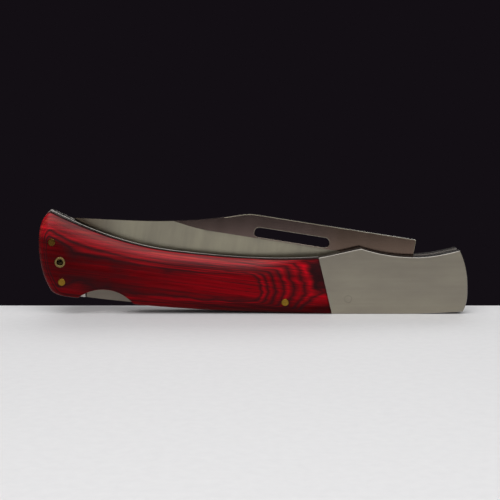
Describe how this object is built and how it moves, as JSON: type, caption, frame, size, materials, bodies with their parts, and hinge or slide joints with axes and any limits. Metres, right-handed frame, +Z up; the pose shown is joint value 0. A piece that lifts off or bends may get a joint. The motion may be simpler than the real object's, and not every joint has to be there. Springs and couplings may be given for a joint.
{
  "type": "folding pocket knife",
  "caption": "Large lock-back folding knife with a slotted clip-point blade, red laminated wood scales, steel bolsters, brass pins and a lanyard tube.",
  "frame": {"origin": "under the middle of the closed handle, in its middle plane, level with the lowest point of its back", "axes": "+X along the handle from the butt to the nose with its bolsters, +Y across the handle to its rear side, +Z up from the handle's back to the side where the folded blade shows"},
  "size_m": [0.178, 0.0166, 0.0432],
  "materials": {
    "wood_laminate": "red and black laminated wood, buffed to a soft gloss",
    "bolster_steel": "satin, grained along the handle",
    "liner_steel": "satin sheet steel, ground level at the edges",
    "blade_steel": "satin flats and a brighter hollow grind",
    "bar_steel": "ground steel",
    "spring_steel": "dark tempered spring steel",
    "brass_pins": "filed level with the wood and buffed"
  },
  "bodies": {
    "handle": {"liner_front": "liner_steel", "liner_rear": "liner_steel", "bolster_front": "bolster_steel", "bolster_rear": "bolster_steel", "scale_front": "wood_laminate", "scale_rear": "wood_laminate", "bolster_rivet_front_lower": "bolster_steel", "bolster_rivet_front_upper": "bolster_steel", "bolster_rivet_rear_lower": "bolster_steel", "bolster_rivet_rear_upper": "bolster_steel", "butt_spacer": "liner_steel", "butt_pin_upper": "brass_pins", "butt_pin_lower": "brass_pins", "lock_bar_pin": "brass_pins", "lanyard_tube": "brass_pins", "blade_pivot_pin": "bolster_steel"},
    "blade": {"blade": "blade_steel"},
    "lock_bar": {"lock_bar": "bar_steel"},
    "spring": {"back_spring": "spring_steel"}
  },
  "joints": [
    {"name": "blade_fold", "type": "hinge", "parent": "handle", "child": "blade", "pos_m": [0.072, 0, 0.015], "axis": [0, 1, 0], "range_deg": [0, 171]},
    {"name": "lock_rock", "type": "hinge", "parent": "handle", "child": "lock_bar", "pos_m": [0.0133, 0, 0.00495], "axis": [0, 1, 0], "range_deg": [-1.29, 0.8], "stiffness_Nm_per_rad": 0.8, "springref_deg": -2.86},
    {"name": "spring_flex", "type": "hinge", "parent": "handle", "child": "spring", "pos_m": [-0.0757, 0, 0.0175], "axis": [0, 1, 0], "range_deg": [-1.12, 1.81]}
  ],
  "couplings": [
    {"joint": "spring_flex", "follows": "lock_rock", "ratio": -1.3925}
  ]
}
